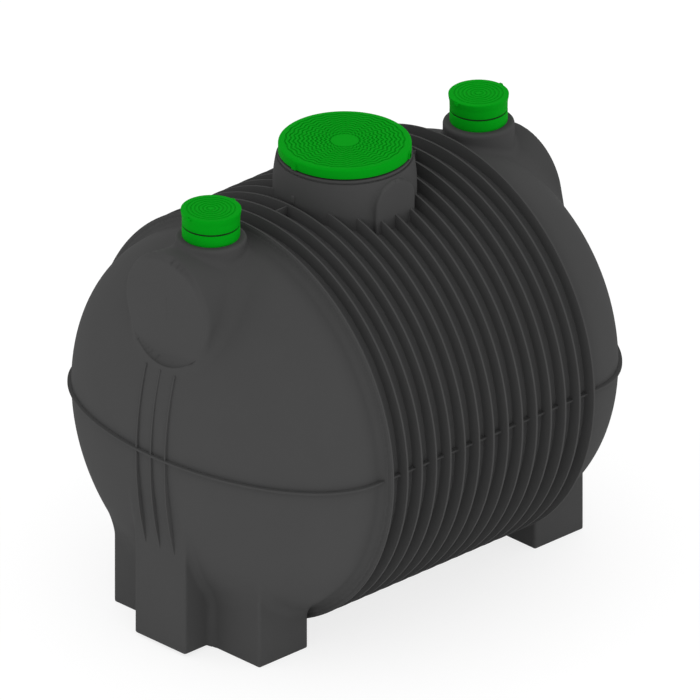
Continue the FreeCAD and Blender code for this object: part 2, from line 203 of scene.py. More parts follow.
# %% The three finishes
def plastic(name, color, dust_color, roughness, clouds, dust, rub_and_highlight, bump, peel_scale=60.0):
    material = bpy.data.materials.new(name)
    material.use_nodes = True
    tree = material.node_tree
    shader = tree.nodes["Principled BSDF"]
    where = tree.nodes.new("ShaderNodeTexCoord").outputs["Object"]
    ageing_and_highlight = tree.nodes.new("ShaderNodeGroup")
    ageing_and_highlight.node_tree = AGEING_AND_HIGHLIGHT
    tree.links.new(where, ageing_and_highlight.inputs["Where"])
    ageing_and_highlight.inputs["Color"].default_value = (*color, 1)
    ageing_and_highlight.inputs["Dust Color"].default_value = (*dust_color, 1)
    ageing_and_highlight.inputs["Cloud Depth"].default_value = clouds
    ageing_and_highlight.inputs["Dust"].default_value = dust
    ageing_and_highlight.inputs["Rub And Highlight"].default_value = rub_and_highlight
    ageing_and_highlight.inputs["Roughness"].default_value = roughness
    tree.links.new(ageing_and_highlight.outputs["Color"], shader.inputs["Base Color"])
    tree.links.new(ageing_and_highlight.outputs["Roughness"], shader.inputs["Roughness"])
    grain = tree.nodes.new("ShaderNodeGroup")
    grain.node_tree = GRAIN
    grain.inputs["Peel Scale"].default_value = peel_scale
    tree.links.new(where, grain.inputs["Where"])
    relief = tree.nodes.new("ShaderNodeBump")
    relief.inputs["Distance"].default_value = bump
    relief.inputs["Strength"].default_value = 0.5
    tree.links.new(grain.outputs["Height"], relief.inputs["Height"])
    tree.links.new(relief.outputs["Normal"], shader.inputs["Normal"])
    shader.inputs["Specular IOR Level"].default_value = 0.02
    return material


BLACK = plastic("moulded_black", (0.059, 0.059, 0.059), (0.10, 0.10, 0.097),
                roughness=0.80, clouds=0.06, dust=0.04, rub_and_highlight=0.15, bump=0.3 * MM)
GREEN = plastic("moulded_green", (0.001, 0.290, 0.0075), (0.002, 0.29, 0.01),
                roughness=0.75, clouds=0.05, dust=0.02, rub_and_highlight=0.10, bump=0.2 * MM)
RUBBER = plastic("black_rubber", (0.012, 0.012, 0.012), (0.05, 0.05, 0.05),
                 roughness=0.80, clouds=0.15, dust=0.05, rub_and_highlight=0.10, bump=0.2 * MM)
FINISH = {"tank_plastic": BLACK, "cover_plastic": GREEN, "seal_rubber": RUBBER}
print("finishes:", sorted(FINISH))

# %% [markdown]
# Solids that already have the right shape stay, and only get a finish. The record says which finish each
# solid has, so one loop dresses them all.

# %% Finishes on the solids
slot_of = {part["node"]: part["material_slot"] for part in frame["record"]["subparts"]}
for name, node in frame["nodes"].items():
    node.data.materials.clear()
    node.data.materials.append(FINISH[slot_of[name]])
print("dressed", len(slot_of), "solids")

# %% [markdown]
# Every new piece ends the same way: its normals point outwards, its flat faces keep their hard edges and
# its round ones shade smoothly, and it rides on the tank's one body. One helper does this and prints the
# count of triangles, which shows early when a piece grows too heavy.

# %% A helper that finishes a piece
def piece(name, mesh, slot, stands_for=(), hard_angle=38):
    bmesh.ops.remove_doubles(mesh, verts=mesh.verts, dist=0.01 * MM)
    bmesh.ops.recalc_face_normals(mesh, faces=mesh.faces)
    data = bpy.data.meshes.new(name)
    mesh.to_mesh(data)
    mesh.free()
    return place(name, data, slot, stands_for, hard_angle)


def place(name, data, slot, stands_for=(), hard_angle=38):
    data.polygons.foreach_set("use_smooth", [True] * len(data.polygons))
    data.set_sharp_from_angle(angle=math.radians(hard_angle))
    data.materials.clear()
    data.materials.append(FINISH[slot])
    thing = bpy.data.objects.new(name, data)
    bpy.context.scene.collection.objects.link(thing)
    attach(thing, "root")
    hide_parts(*stands_for)
    triangles = sum(len(polygon.vertices) - 2 for polygon in data.polygons)
    print(name, "triangles", triangles)
    return thing


# %% [markdown]
# A domed end is one moulded skin: an ellipsoid from which the pipe pad, the access collar and the three
# feet grow with soft fillets. Joined primitives would meet in hard lines, and a bevel doesn't hold on
# such slanting joints. So rough primitives are joined and remeshed into one skin of small faces, and then
# each point of the skin is moved onto an exact surface. That surface is written as distances: each form
# gives how far a point lies outside it, two forms are joined by taking the smaller distance, and near
# their joint a quarter circle replaces the corner, which is the fillet.

# %% Distances that make corners and fillets
def rounded_edge(a, b, radius):
    """Inside both a and b, with their outer corner rounded."""
    a, b = a + radius, b + radius
    return np.minimum(np.maximum(a, b), 0) + np.hypot(np.maximum(a, 0), np.maximum(b, 0)) - radius


def filleted_joint(a, b, radius):
    """Inside a or b, with a hollow fillet where they meet."""
    hollow = np.hypot(np.maximum(radius - a, 0), np.maximum(radius - b, 0))
    return np.maximum(radius, np.minimum(a, b)) - hollow


def dome_distance(x, y, z):
    ahead = np.maximum(x - DOME_START, 0) / DOME_DEPTH
    rise = np.hypot(y, z - SEAM_Z) / SKIN_R
    reach = np.hypot(ahead, rise)
    slope = np.hypot(ahead / DOME_DEPTH, rise / SKIN_R)
    return reach * (reach - 1) / np.maximum(slope, 1e-6)


SHOULDER_RUN = 8 * MM
SHOULDER_ROOT = 24 * MM


def shoulder_distance(x, y, z):
    """A steep cone that rises from the skin to the tip of the outermost fin."""
    ring = np.hypot(y, z - SEAM_Z) - SKIN_R
    out = x - OUTER_FIN_FACE
    slant = (out * FIN_HEIGHT + (ring - FIN_HEIGHT) * SHOULDER_RUN) / math.hypot(FIN_HEIGHT, SHOULDER_RUN)
    return np.maximum(np.maximum(slant, out - 2 * SHOULDER_RUN), ring - FIN_HEIGHT + MM)


# %% [markdown]
# The pad is a flat round boss whose back falls away into the dome, so its circle slides down as it goes
# in. The collar is a short upright drum. The feet are two blocks side by side with a longer one in the
# middle, seen from above as a T. All three have rounded outer edges, as every moulded corner does.

# %% Pad, collar and feet
PAD_ROUND = 22 * MM
COLLAR_R = 134 * MM
COLLAR_ROUND = 12 * MM
COLLAR_ROOT = 22 * MM
COLLAR_LOW = SEAM_Z + 400 * MM
FOOT_ROUND = 9 * MM
FOOT_ROOT = 30 * MM
FOOT_HOLLOW = 32 * MM
SOLE_ROUND = 6 * MM
RECESS_ROUND = 5 * MM
PADS = {
    "inlet": {"radius": 222 * MM, "drop": 6 * MM, "fall": 40 * MM, "blend": 46 * MM, "sunk": 4 * MM},
    "outlet": {"radius": 236 * MM, "drop": 84 * MM, "fall": 20 * MM, "blend": 48 * MM, "sunk": 0},
}
PAD_ROOT = BARREL_END + 34 * MM


def end_sizes(end):
    """Sizes of one end, as if it lay at +X."""
    sign = 1 if end == "outlet" else -1
    pad_low, pad_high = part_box(end + "_pipe_pad")
    collar_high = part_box(end + "_access_collar")[1]
    foot_low, foot_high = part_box(end + "_foot_left")
    middle_low, middle_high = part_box(end + "_foot_middle")
    near, far = sorted((abs(foot_low.x), abs(foot_high.x)))
    riser_low, riser_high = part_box(end + "_access_riser")
    sizes = dict(PADS[end])
    sizes["sign"] = sign
    sizes["pad_face"] = max(abs(pad_low.x), abs(pad_high.x)) - sizes["sunk"]
    sizes["collar_top"] = collar_high.z
    sizes["access_x"] = abs(riser_low.x + riser_high.x) / 2
    sizes["foot_near"] = near
    sizes["foot_far"] = far
    sizes["foot_half"] = foot_high.y
    sizes["middle_half"] = foot_low.y
    sizes["middle_far"] = max(abs(middle_low.x), abs(middle_high.x))
    sizes["middle_floor"] = middle_low.z
    sizes["pad_z"] = collar_high.z - sizes["drop"] - sizes["radius"]
    return sizes


def pad_distance(s, x, y, z):
    run = s["pad_face"] - PAD_ROOT
    centre = s["pad_z"] - s["fall"] * (s["pad_face"] - x) / run
    side = np.hypot(y, z - centre) - s["radius"]
    front = rounded_edge(side, x - s["pad_face"], PAD_ROUND)
    return rounded_edge(front, PAD_ROOT - x, PAD_ROUND)


def collar_distance(s, x, y, z):
    side = np.hypot(x - s["access_x"], y) - COLLAR_R
    drum = rounded_edge(side, z - s["collar_top"], COLLAR_ROUND)
    return np.maximum(drum, COLLAR_LOW - z)


def feet_distance(s, x, y, z):
    across = np.abs(y)
    middle_x = (s["foot_far"] + s["foot_near"]) / 2
    length = np.abs(x - middle_x) - (s["foot_far"] - s["foot_near"]) / 2
    outer = rounded_edge(length, across - s["foot_half"], FOOT_ROUND)
    outer = rounded_edge(outer, -z, SOLE_ROUND)
    nose = rounded_edge(x - s["middle_far"], across - s["middle_half"], FOOT_ROUND)
    nose = np.maximum(nose, s["foot_near"] - x)
    nose = rounded_edge(nose, s["middle_floor"] - z, SOLE_ROUND)
    feet = filleted_joint(outer, nose, FOOT_HOLLOW)
    return np.maximum(np.maximum(feet, z - SEAM_Z), -z)


def end_distance(s, points):
    x, y, z = points[:, 0], points[:, 1], points[:, 2]
    skin = filleted_joint(dome_distance(x, y, z), shoulder_distance(x, y, z), SHOULDER_ROOT)
    skin = filleted_joint(skin, feet_distance(s, x, y, z), FOOT_ROOT)
    skin = filleted_joint(skin, pad_distance(s, x, y, z), s["blend"])
    skin = filleted_joint(skin, collar_distance(s, x, y, z), COLLAR_ROOT)
    if s["sunk"]:
        inside_circle = s["radius"] - np.hypot(y, z - s["pad_z"])
        around = rounded_edge(skin, inside_circle, RECESS_ROUND)
        behind = np.maximum(skin, x - s["pad_face"])
        skin = np.minimum(around, behind)
    return skin


# %% [markdown]
# The rough start is made of plain primitives: a scaled sphere, drums and a cone's stump laid on their
# places, and blocks for the feet. They only have to overlap and to have about the right size.

# %% Rough primitives for one end
BACK_ROOM = 30 * MM
ROUND_SEGMENTS = 64


def add_ball(mesh):
    made = bmesh.ops.create_uvsphere(mesh, u_segments=ROUND_SEGMENTS, v_segments=ROUND_SEGMENTS // 2,
                                     radius=1)
    bmesh.ops.scale(mesh, verts=made["verts"], vec=(DOME_DEPTH, SKIN_R, SKIN_R))
    bmesh.ops.translate(mesh, verts=made["verts"], vec=(DOME_START, 0, SEAM_Z))


def add_drum(mesh, radius, start, finish, finish_radius=None):
    """A closed drum, or a cone's stump, between two points."""
    axis = finish - start
    made = bmesh.ops.create_cone(mesh, cap_ends=True, cap_tris=False, segments=ROUND_SEGMENTS,
                                 radius1=radius, radius2=finish_radius or radius, depth=axis.length)
    turn = Vector((0, 0, 1)).rotation_difference(axis).to_matrix()
    bmesh.ops.rotate(mesh, verts=made["verts"], cent=(0, 0, 0), matrix=turn)
    bmesh.ops.translate(mesh, verts=made["verts"], vec=(start + finish) / 2)


def add_block(mesh, low, high):
    low, high = Vector(low), Vector(high)
    made = bmesh.ops.create_cube(mesh, size=1)
    bmesh.ops.scale(mesh, verts=made["verts"], vec=high - low)
    bmesh.ops.translate(mesh, verts=made["verts"], vec=(low + high) / 2)


def rough_end(s):
    mesh = bmesh.new()
    add_ball(mesh)
    back = Vector((OUTER_FIN - BACK_ROOM, 0, SEAM_Z))
    face = Vector((OUTER_FIN_FACE, 0, SEAM_Z))
    add_drum(mesh, SKIN_R, back, Vector((DOME_START, 0, SEAM_Z)))
    add_drum(mesh, FIN_R - MM, back, face)
    add_drum(mesh, FIN_R - MM, face, face + Vector((SHOULDER_RUN, 0, 0)), SKIN_R)
    pad_back = Vector((PAD_ROOT, 0, s["pad_z"] - s["fall"]))
    add_drum(mesh, s["radius"], pad_back, Vector((s["pad_face"], 0, s["pad_z"])))
    collar_low = Vector((s["access_x"], 0, COLLAR_LOW + 100 * MM))
    add_drum(mesh, COLLAR_R, collar_low, Vector((s["access_x"], 0, s["collar_top"])))
    foot_top = SEAM_Z - 300 * MM
    add_block(mesh, (s["foot_near"], -s["foot_half"], 0), (s["foot_far"], s["foot_half"], foot_top))
    half = s["middle_half"]
    add_block(mesh, (s["foot_near"], -half, s["middle_floor"]), (s["middle_far"], half, foot_top))
    return mesh


# %% [markdown]
# The voxel remesh turns the overlapping primitives into one closed skin. Points are then walked along the
# surface's slope until their distance is zero, which also fills the fillets. The back is cut off inside
# the outermost fin and closed, and the finished skin of the inlet end is mirrored to its side. The real
# tank is moulded in two halves, so each skin is also cut at the seam into an upper and a lower piece.

# %% Remesh and settle
VOXEL = 7 * MM
SOFTENING = 0.5
LEAST_STEEPNESS = 0.25


def remeshed(mesh, size):
    data = bpy.data.meshes.new("rough")
    mesh.to_mesh(data)
    mesh.free()
    rough = bpy.data.objects.new("rough", data)
    bpy.context.scene.collection.objects.link(rough)
    step = rough.modifiers.new("skin", "REMESH")
    step.mode = "VOXEL"
    step.voxel_size = size
    bpy.context.view_layer.update()
    shaped = rough.evaluated_get(bpy.context.evaluated_depsgraph_get())
    result = bmesh.new()
    result.from_mesh(shaped.to_mesh())
    shaped.to_mesh_clear()
    bpy.data.objects.remove(rough)
    bpy.data.meshes.remove(data)
    return result


def slope_of(distance, points, step=0.2 * MM):
    slope = np.empty_like(points)
    for axis in range(3):
        shift = np.zeros(3)
        shift[axis] = step
        slope[:, axis] = (distance(points + shift) - distance(points - shift)) / (2 * step)
    return slope


def settle(mesh, distance, rounds=10, longest=3 * MM):
    """Walk each point down or up the slope to the surface, in short steps."""
    points = np.array([vert.co[:] for vert in mesh.verts])
    for _ in range(rounds):
        slope = slope_of(distance, points)
        steepness = np.maximum((slope ** 2).sum(axis=1), LEAST_STEEPNESS)
        walk = slope * (distance(points) / steepness)[:, None]
        length = np.linalg.norm(walk, axis=1)
        points -= walk * np.minimum(1, longest / np.maximum(length, 1e-9))[:, None]
    for vert, point in zip(mesh.verts, points):
        vert.co = point


def soften(mesh):
    bmesh.ops.smooth_vert(mesh, verts=mesh.verts, factor=SOFTENING,
                          use_axis_x=True, use_axis_y=True, use_axis_z=True)


def settle_evenly(mesh, distance):
    """Settle three times and soften the mesh in between, so its faces stay even."""
    settle(mesh, distance)
    for _ in range(2):
        soften(mesh)
        settle(mesh, distance)


def largest_distance(mesh, distance):
    """How far the points lie from the exact surface at most, in millimetres."""
    points = np.array([vert.co[:] for vert in mesh.verts])
    return round(np.abs(distance(points)).max() / MM, 3)


def cut_level(mesh, place, direction):
    """Cut off what lies beyond a plane and close the cut."""
    everything = mesh.verts[:] + mesh.edges[:] + mesh.faces[:]
    cut = bmesh.ops.bisect_plane(mesh, geom=everything, plane_co=place, plane_no=direction, clear_outer=True)
    rim = [item for item in cut["geom_cut"] if isinstance(item, bmesh.types.BMEdge)]
    bmesh.ops.edgeloop_fill(mesh, edges=rim)


def end_half(end, mesh, half, side, words):
    """The part of a skin above or below the seam, as a piece of its own."""
    mesh = mesh.copy()
    cut_level(mesh, (0, 0, SEAM_Z), (0, 0, -side))
    stands_for = [node for node in frame["nodes"]
                  if node.startswith(end + "_") and any(word in node for word in words)]
    return piece(end + "_skin_" + half, mesh, "tank_plastic", stands_for, hard_angle=60)


def end_skin(end):
    s = end_sizes(end)
    mesh = remeshed(rough_end(s), VOXEL)
    distance = functools.partial(end_distance, s)
    settle_evenly(mesh, distance)
    cut_level(mesh, (OUTER_FIN, 0, 0), (-1, 0, 0))
    print(end, "skin: largest distance left", largest_distance(mesh, distance), "mm")
    if s["sign"] < 0:
        bmesh.ops.scale(mesh, verts=mesh.verts, vec=(-1, 1, 1))
    end_half(end, mesh, "upper", 1, ("end_upper", "pad", "collar"))
    end_half(end, mesh, "lower", -1, ("end_lower", "foot"))
    mesh.free()


for end in ("inlet", "outlet"):
    end_skin(end)

# %% [markdown]
# The barrel's fifteen fins could be an array of discs laid over a tube, but their roots would stay sharp.
# The mould was turned on a lathe, so the mesh is turned as well: the comb is drawn once as a closed
# outline, its corners are rounded by a bevel of its points, and a full spin makes the barrel.

# %% A lathe for outlines with rounded corners
def lathe(points, rounded, centre, axis, steps, closed=True):
    """Spin an outline; rounded gives the radius for lists of its corners."""
    mesh = bmesh.new()
    corners = [mesh.verts.new(point) for point in points]
    for start, end in zip(corners, corners[1:]):
        mesh.edges.new((start, end))
    if closed:
        mesh.edges.new((corners[-1], corners[0]))
    for radius, numbers in rounded.items():
        bmesh.ops.bevel(mesh, geom=[corners[number] for number in numbers], offset=radius,
                        offset_type="OFFSET", segments=3, profile=0.5, affect="VERTICES", material=-1)
    bmesh.ops.spin(mesh, geom=mesh.verts[:] + mesh.edges[:], cent=centre, axis=axis, dvec=(0, 0, 0),
                   angle=2 * math.pi, steps=steps, use_merge=True)
    return mesh


def upright_lathe(points, rounded, x=0.0, steps=128, closed=True):
    """Turn an outline of (radius, height) round an upright axis at x."""
    return lathe([(x + radius, 0, z) for radius, z in points], rounded, (x, 0, 0), (0, 0, 1), steps, closed)


# %% The barrel's comb of fins
TIP_ROUND = 1.5 * MM
ROOT_ROUND = 2.5 * MM
GROOVE_R = SKIN_R - 3 * MM
WALL = 8 * MM
FIN_STEPS = 192
HOLE_PLAY = 10 * MM


def comb_outline():
    tips, roots, points = [], [], [(-OUTER_FIN_FACE, SKIN_R - WALL)]
    for number in range(FIN_COUNT):
        centre = FIN_PITCH * number - OUTER_FIN
        for side, radius in ((-1, GROOVE_R), (-1, FIN_R), (1, FIN_R), (1, GROOVE_R)):
            outer_end = abs(centre + side * FIN_PITCH) > OUTER_FIN + MM
            if radius == GROOVE_R and outer_end:
                continue
            (tips if radius == FIN_R else roots).append(len(points))
            thickness = FIN_TIP if radius == FIN_R else FIN_ROOT
            points.append((centre + side * thickness / 2, radius))
    points.append((OUTER_FIN_FACE, SKIN_R - WALL))
    return [(x, 0, SEAM_Z + radius) for x, radius in points], tips, roots


def cut_away(mesh, tool):
    """Take the tool's mesh away from a mesh."""
    things = []
    for name, source in (("kept", mesh), ("tool", tool)):
        bmesh.ops.remove_doubles(source, verts=source.verts, dist=0.01 * MM)
        bmesh.ops.recalc_face_normals(source, faces=source.faces)
        data = bpy.data.meshes.new(name)
        source.to_mesh(data)
        source.free()
        things.append(bpy.data.objects.new(name, data))
        bpy.context.scene.collection.objects.link(things[-1])
    step = things[0].modifiers.new("cut", "BOOLEAN")
    step.object = things[1]
    step.operation = "DIFFERENCE"
    step.solver = "EXACT"
    result = bmesh.new()
    result.from_mesh(things[0].evaluated_get(bpy.context.evaluated_depsgraph_get()).to_mesh())
    for thing in things:
        data = thing.data
        bpy.data.objects.remove(thing)
        bpy.data.meshes.remove(data)
    return result


outline, tips, roots = comb_outline()
comb = lathe(outline, {TIP_ROUND: tips, ROOT_ROUND: roots}, (0, 0, SEAM_Z), (1, 0, 0), FIN_STEPS)
neck_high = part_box("manhole_neck")[1]
hole = bmesh.new()
hole_low = Vector((0, 0, SEAM_Z + 500 * MM))
add_drum(hole, neck_high.x - HOLE_PLAY, hole_low, Vector((0, 0, neck_high.z + 200 * MM)))
barrel_nodes = [node for node in frame["nodes"] if node.startswith("barrel_")]
piece("barrel_fins", cut_away(comb, hole), "tank_plastic", barrel_nodes, hard_angle=50)

# %% [markdown]
# The two halves of the tank meet in a thin lip that runs all the way round, through the grooves between
# the fins and round both domes. It is made of closed loops, one for each corner of its section: each
# starts as a circle, is scaled to the dome's outline, and its two halves are moved apart to the ends. The
# loops are bridged to a ring, whose outer edges are bevelled. A shallow middle loop leaves the line
# between the two halves.

# %% Seam lip
LIP_HALF = 4 * MM
LIP_ROOT = 5 * MM
LIP_LINE = 0.4 * MM
LIP_ROUND = 0.8 * MM
LIP_SEGMENTS = 240


def lip_loop(mesh, reach, height):
    made = bmesh.ops.create_circle(mesh, cap_ends=False, segments=LIP_SEGMENTS, radius=1)
    half_step = Matrix.Rotation(math.pi / LIP_SEGMENTS, 3, "Z")
    bmesh.ops.rotate(mesh, verts=made["verts"], cent=(0, 0, 0), matrix=half_step)
    bmesh.ops.scale(mesh, verts=made["verts"], vec=(DOME_DEPTH + reach, SKIN_R + reach, 1))
    for side in (-1, 1):
        half = [vert for vert in made["verts"] if vert.co.x * side > 0]
        bmesh.ops.translate(mesh, verts=half, vec=(side * DOME_START, 0, 0))
    bmesh.ops.translate(mesh, verts=made["verts"], vec=(0, 0, SEAM_Z + height))
    around = set(made["verts"])
    return [edge for edge in mesh.edges if around.issuperset(edge.verts)]


def seam_lip():
    section = [(-LIP_ROOT, LIP_HALF), (SEAM_REACH, LIP_HALF), (SEAM_REACH, LIP_LINE),
               (SEAM_REACH - LIP_LINE, 0), (SEAM_REACH, -LIP_LINE), (SEAM_REACH, -LIP_HALF),
               (-LIP_ROOT, -LIP_HALF)]
    mesh = bmesh.new()
    loops = [lip_loop(mesh, reach, height) for reach, height in section]
    for start, end in zip(loops, loops[1:] + loops[:1]):
        bmesh.ops.bridge_loops(mesh, edges=start + end)
    bmesh.ops.bevel(mesh, geom=loops[1] + loops[5], offset=LIP_ROUND, offset_type="OFFSET", segments=2,
                    profile=0.5, affect="EDGES", material=-1)
    return piece("seam_lip", mesh, "tank_plastic")


seam_lip()

# %% [markdown]
# Three thin upright plates stiffen each end over the middle foot. Their bowed outer edge is one arc: a
# single point is spun along it, the chain is closed behind the dome's skin and filled, and the flat
# outline is pulled out to its thickness and bevelled. The other two plates are copies.

# %% Stiffeners
PLATE = 7 * MM
PLATE_ROUND = 1.8 * MM
BOW_LOW = DOME_TIP - 41 * MM
BOW_MIDDLE = (DOME_TIP + 9 * MM, 0, SEAM_Z - 44 * MM)
BOW_HIGH = DOME_TIP - 42 * MM
BOW_RISE = 5 * MM
BOW_STEPS = 24
PLATE_BACK = DOME_START + 280 * MM


def centre_through(a, b, c):
    """Centre of the circle through three points."""
    first, second = b - a, c - a
    normal = first.cross(second)
    away = normal.cross(first) * second.length_squared + second.cross(normal) * first.length_squared
    return a + away / (2 * normal.length_squared)


def stiffeners(end):
    sign = 1 if end == "outlet" else -1
    low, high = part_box(end + "_end_stiffeners")
    spacing = (high.y - low.y - PLATE) / 2
    start = Vector((BOW_LOW, 0, low.z))
    finish = Vector((BOW_HIGH, 0, high.z + BOW_RISE))
    centre = centre_through(start, Vector(BOW_MIDDLE), finish)
    angle = (start - centre).angle(finish - centre)
    mesh = bmesh.new()
    first = mesh.verts.new(start)
    bmesh.ops.spin(mesh, geom=[first], cent=centre, axis=(0, -1, 0), dvec=(0, 0, 0), angle=angle,
                   steps=BOW_STEPS)
    mesh.verts.ensure_lookup_table()
    chain = mesh.verts[:]
    corners = [mesh.verts.new((PLATE_BACK, 0, chain[-1].co.z)), mesh.verts.new((PLATE_BACK, 0, start.z))]
    outline = mesh.faces.new(chain + corners)
    pulled = bmesh.ops.extrude_face_region(mesh, geom=[outline])
    moved = [item for item in pulled["geom"] if isinstance(item, bmesh.types.BMVert)]
    bmesh.ops.translate(mesh, verts=moved, vec=(0, PLATE, 0))
    bmesh.ops.recalc_face_normals(mesh, faces=mesh.faces)
    rims = [edge for edge in mesh.edges if edge.is_manifold and edge.calc_face_angle(0) > math.radians(60)]
    bmesh.ops.bevel(mesh, geom=rims, offset=PLATE_ROUND, offset_type="OFFSET", segments=2, profile=0.5,
                    affect="EDGES", material=-1)
    bmesh.ops.translate(mesh, verts=mesh.verts, vec=(0, -spacing - PLATE / 2, 0))
    plate = mesh.verts[:] + mesh.edges[:] + mesh.faces[:]
    for number in (1, 2):
        copy = bmesh.ops.duplicate(mesh, geom=plate)
        verts = [item for item in copy["geom"] if isinstance(item, bmesh.types.BMVert)]
        bmesh.ops.translate(mesh, verts=verts, vec=(0, spacing * number, 0))
    if sign < 0:
        bmesh.ops.scale(mesh, verts=mesh.verts, vec=(-1, 1, 1))
    print(end, "bow ends", [round(chain_end, 4) for chain_end in (start.x, finish.x)])
    return piece(end + "_stiffeners", mesh, "tank_plastic", [end + "_end_stiffeners"])


for end in ("inlet", "outlet"):
    stiffeners(end)

# %% [markdown]
# The manhole neck is drawn in by one long arc and carries a flat arched pad on each side, which melts
# into it. That is the same kind of form as the domed ends, so it is made the same way, with a finer mesh.

# %% Manhole neck with its arched pads
NECK_R = neck_high.x
NECK_TOP = neck_high.z
NECK_CURVE = 127 * MM
NECK_DRAW = 15 * MM
NECK_BOW = (NECK_CURVE ** 2 + NECK_DRAW ** 2) / (2 * NECK_DRAW)
NECK_PAD_HALF = 99 * MM
NECK_PAD_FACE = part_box("neck_pad_left")[1].y
NECK_PAD_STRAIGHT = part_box("neck_pad_left")[1].z - NECK_PAD_HALF + 12 * MM
NECK_PAD_ROUND = 5 * MM
NECK_PAD_ROOT = 6 * MM
NECK_FOOT = NECK_TOP - 250 * MM
NECK_SPARE = 20 * MM
NECK_VOXEL = 4 * MM
LEDGE = 10 * MM
LEDGE_GAP = 4 * MM


def neck_radius(z):
    rise = np.maximum(z - (NECK_TOP - NECK_CURVE), 0)
    return NECK_R - NECK_BOW + np.sqrt(NECK_BOW ** 2 - rise ** 2)


def neck_distance(points):
    x, y, z = points[:, 0], points[:, 1], points[:, 2]
    neck = np.hypot(x, y) - neck_radius(z)
    arch = np.hypot(x, np.maximum(z - NECK_PAD_STRAIGHT, 0)) - NECK_PAD_HALF
    pad = rounded_edge(arch, np.abs(y) - NECK_PAD_FACE, NECK_PAD_ROUND)
    skin = filleted_joint(neck, pad, NECK_PAD_ROOT)
    return np.maximum(np.maximum(skin, z - NECK_TOP - NECK_SPARE), NECK_FOOT - NECK_SPARE - z)


def neck_skin():
    mesh = bmesh.new()
    low, high = NECK_FOOT - NECK_SPARE, NECK_TOP + NECK_SPARE
    add_drum(mesh, NECK_R - 5 * MM, Vector((0, 0, low)), Vector((0, 0, high)))
    half = NECK_PAD_HALF - 4 * MM
    add_block(mesh, (-half, -NECK_PAD_FACE, low), (half, NECK_PAD_FACE, NECK_PAD_STRAIGHT + half * 0.7))
    mesh = remeshed(mesh, NECK_VOXEL)
    settle_evenly(mesh, neck_distance)
    print("neck: largest distance left", largest_distance(mesh, neck_distance), "mm")
    cut_level(mesh, (0, 0, NECK_TOP - LEDGE - LEDGE_GAP), (0, 0, 1))
    cut_level(mesh, (0, 0, NECK_FOOT), (0, 0, -1))
    stands_for = ["manhole_neck", "neck_pad_left", "neck_pad_right"]
    return piece("manhole_neck_skin", mesh, "tank_plastic", stands_for, hard_angle=50)


neck_skin()

# %% [markdown]
# On top of the neck lies a rolled ledge, set off by a narrow groove. The gasket on it is a little smaller
# than the lid, which leaves the dark gap under the lid's edge.

# %% Ledge and gasket
NECK_STEPS = 192
LEDGE_ROUND = 2.5 * MM
SEAL_WIDTH = 12 * MM
SEAL_INSET = 6 * MM
SEAL_ROUND = 2 * MM

ledge_r = float(neck_radius(NECK_TOP)) - 1.5 * MM
groove_r = ledge_r - 3 * MM
inner_r = ledge_r - 16 * MM
groove_low = NECK_TOP - 30 * MM
ledge_low = NECK_TOP - LEDGE
ledge = upright_lathe([(inner_r, groove_low), (groove_r, groove_low), (groove_r, ledge_low),
                       (ledge_r, ledge_low), (ledge_r, NECK_TOP), (inner_r, NECK_TOP)],
                      {LEDGE_ROUND: [3, 4]}, steps=NECK_STEPS)
piece("neck_ledge", ledge, "tank_plastic")
gasket_low, gasket_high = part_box("manhole_gasket")
seal_r = gasket_high.x - SEAL_INSET
seal = upright_lathe([(seal_r - SEAL_WIDTH, gasket_low.z), (seal_r, gasket_low.z), (seal_r, gasket_high.z),
                      (seal_r - SEAL_WIDTH, gasket_high.z)], {SEAL_ROUND: [1, 2]}, steps=NECK_STEPS)
piece("manhole_seal", seal, "seal_rubber", ["manhole_gasket"])

# %% [markdown]
# The lid's tread is a set of narrow round grooves that swing in and out, so that a boot grips in every
# direction. The grooves are part of the turned outline, and afterwards each point of the tread is moved
# in or out by a wave that fades at both ends. The middle stays a plain disc.

# %% Manhole lid
TREAD_START = 48 * MM
TREAD_PITCH = 16.5 * MM
TREAD_RINGS = 11
TREAD_DEPTH = 4 * MM
TREAD_WAVES = 24
TREAD_SWING = 4.2 * MM
LID_ROUND = 9 * MM
LID_SKIRT = 9 * MM
LID_THICKNESS = 12 * MM
LID_FOOT_ROUND = 2 * MM
LID_STEPS = 288


def ringed_top(start, pitch, rings, depth, top):
    """Points of a top with narrow grooves, from its middle outwards."""
    points = [(0, top)]
    for number in range(rings):
        for share, sunk in ((0.28, 0), (0.38, 1), (0.62, 1), (0.72, 0)):
            points.append((start + pitch * (number + share), top - depth * sunk))
    return points


def lid():
    low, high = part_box("manhole_lid")
    radius, top = high.x, high.z
    points = ringed_top(TREAD_START, TREAD_PITCH, TREAD_RINGS, TREAD_DEPTH, top)
    first_corner = len(points)
    inner, inner_top = radius - LID_SKIRT, top - LID_THICKNESS
    points += [(radius, top), (radius, low.z), (inner, low.z), (inner, inner_top), (0, inner_top)]
    rounded = {LID_ROUND: [first_corner], LID_FOOT_ROUND: [first_corner + 1]}
    mesh = upright_lathe(points, rounded, steps=LID_STEPS, closed=False)
    tread_end = TREAD_START + TREAD_PITCH * TREAD_RINGS
    for vert in mesh.verts:
        reach = math.hypot(vert.co.x, vert.co.y)
        if vert.co.z < top - 2 * TREAD_DEPTH or not TREAD_START < reach < tread_end:
            continue
        fade = min(1, (reach - TREAD_START) / TREAD_PITCH, (tread_end - reach) / TREAD_PITCH)
        swing = TREAD_SWING * max(fade, 0) * math.sin(TREAD_WAVES * math.atan2(vert.co.y, vert.co.x))
        vert.co.x *= 1 + swing / reach
        vert.co.y *= 1 + swing / reach
    return piece("manhole_lid_tread", mesh, "cover_plastic", ["manhole_lid"], hard_angle=50)


lid()

# %% [markdown]
# Three small catches hold the lid. Each is an arch a few millimetres proud of the lid's side, with a
# keyhole pressed in. A half circle is spun from one point, closed and pulled outwards, and its front is
# inset.

